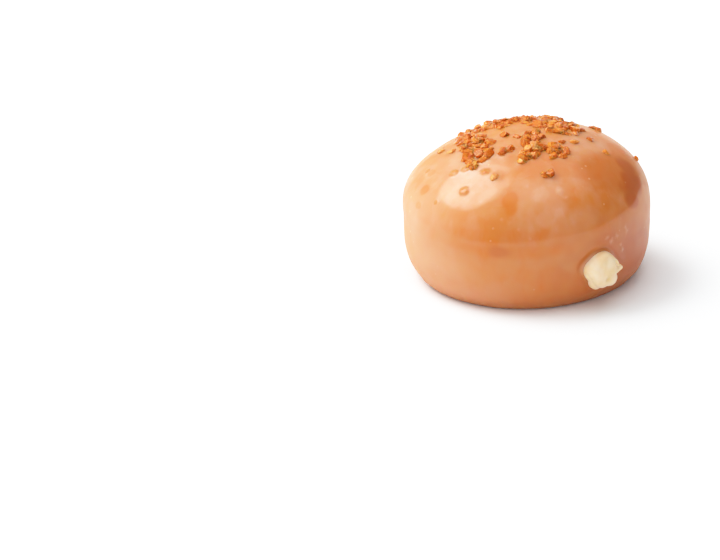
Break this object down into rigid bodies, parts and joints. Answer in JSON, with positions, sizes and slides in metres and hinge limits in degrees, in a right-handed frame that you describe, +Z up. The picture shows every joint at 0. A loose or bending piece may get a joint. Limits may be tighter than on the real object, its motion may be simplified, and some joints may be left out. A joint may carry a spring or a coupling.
{
  "type": "doughnut hole",
  "caption": "Squat round glazed doughnut hole, filled, with raw sugar crystals on top and cream showing at the filling hole.",
  "frame": {"origin": "middle of the flat base that the doughnut hole rests on", "axes": "+Z up through the dome; -Y is the front, and the filling hole faces the front right, between -Y and +X"},
  "size_m": [0.0478, 0.0496, 0.0295],
  "materials": {
    "caramel_glaze": "glossy translucent caramel glaze over fried dough",
    "sugar": "amber translucent raw sugar crystals",
    "cream": "soft satin cream"
  },
  "bodies": {
    "root": {"glazed_dough": "caramel_glaze", "cream_filling": "cream"}
  },
  "joints": []
}
